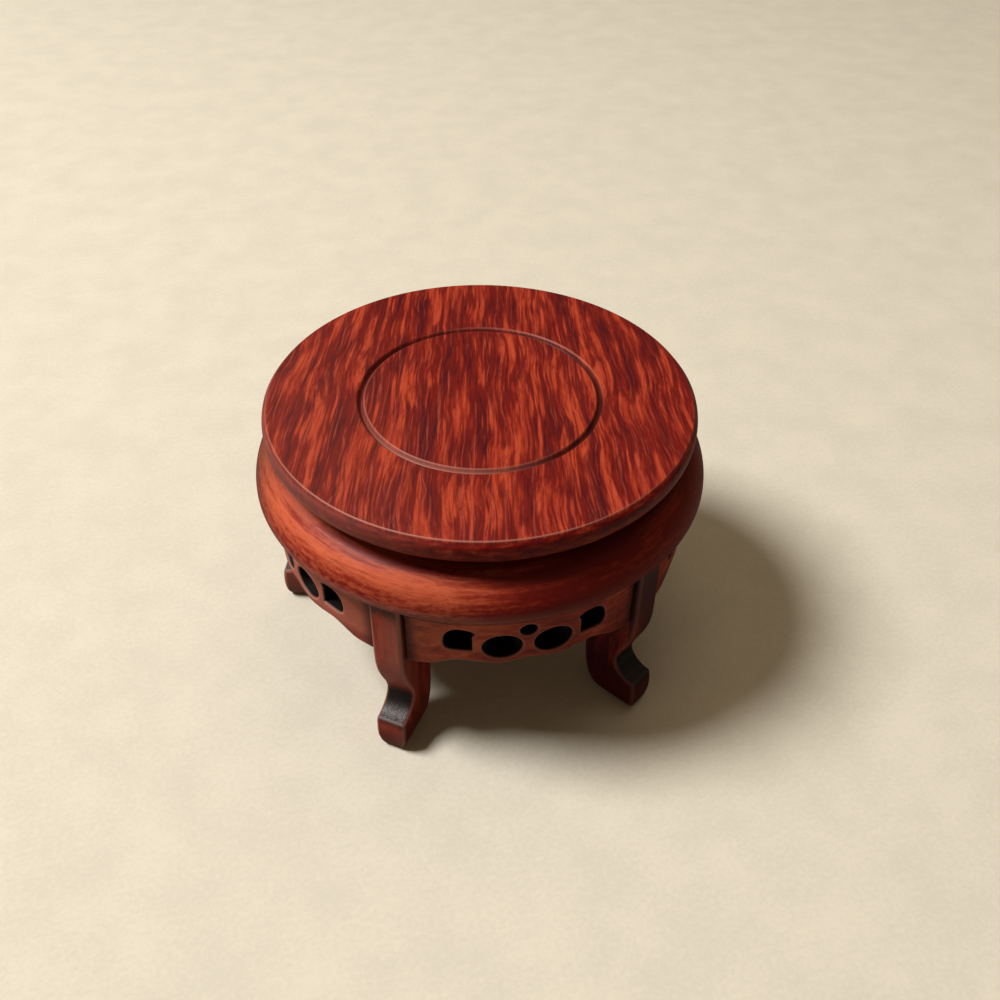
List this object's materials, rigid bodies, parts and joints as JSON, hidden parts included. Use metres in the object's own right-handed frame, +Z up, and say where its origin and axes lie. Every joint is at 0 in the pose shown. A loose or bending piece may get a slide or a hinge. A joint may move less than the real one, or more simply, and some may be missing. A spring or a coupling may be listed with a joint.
{
  "type": "round bonsai display stand",
  "caption": "Round rosewood display stand for a small bonsai: turned board with engraved circle, waist, ring moulding, pierced aprons and scroll-footed legs.",
  "frame": {"origin": "on the floor, on the axis of the turned board", "axes": "+Z up through the board; -Y towards the middle of the front bay, between two legs; +X to the right of that bay"},
  "size_m": [0.1066, 0.1066, 0.069],
  "materials": {
    "figured_board": "satin lacquer over dark rosewood with orange-red flame figure",
    "turned_rosewood": "satin lacquer over red-brown rosewood",
    "carved_rosewood": "satin lacquer over darker rosewood, blackened in the hollows",
    "screw_steel": "dull zinc-plated steel"
  },
  "bodies": {
    "root": {"top_board": "figured_board", "waist_ring": "turned_rosewood", "ring_moulding": "turned_rosewood", "apron_1": "turned_rosewood", "apron_2": "turned_rosewood", "apron_3": "turned_rosewood", "apron_4": "turned_rosewood", "apron_5": "turned_rosewood", "leg_1": "carved_rosewood", "leg_2": "carved_rosewood", "leg_3": "carved_rosewood", "leg_4": "carved_rosewood", "leg_5": "carved_rosewood", "board_screw_1": "screw_steel", "board_screw_2": "screw_steel", "board_screw_3": "screw_steel", "board_screw_4": "screw_steel", "board_screw_5": "screw_steel"}
  },
  "joints": []
}
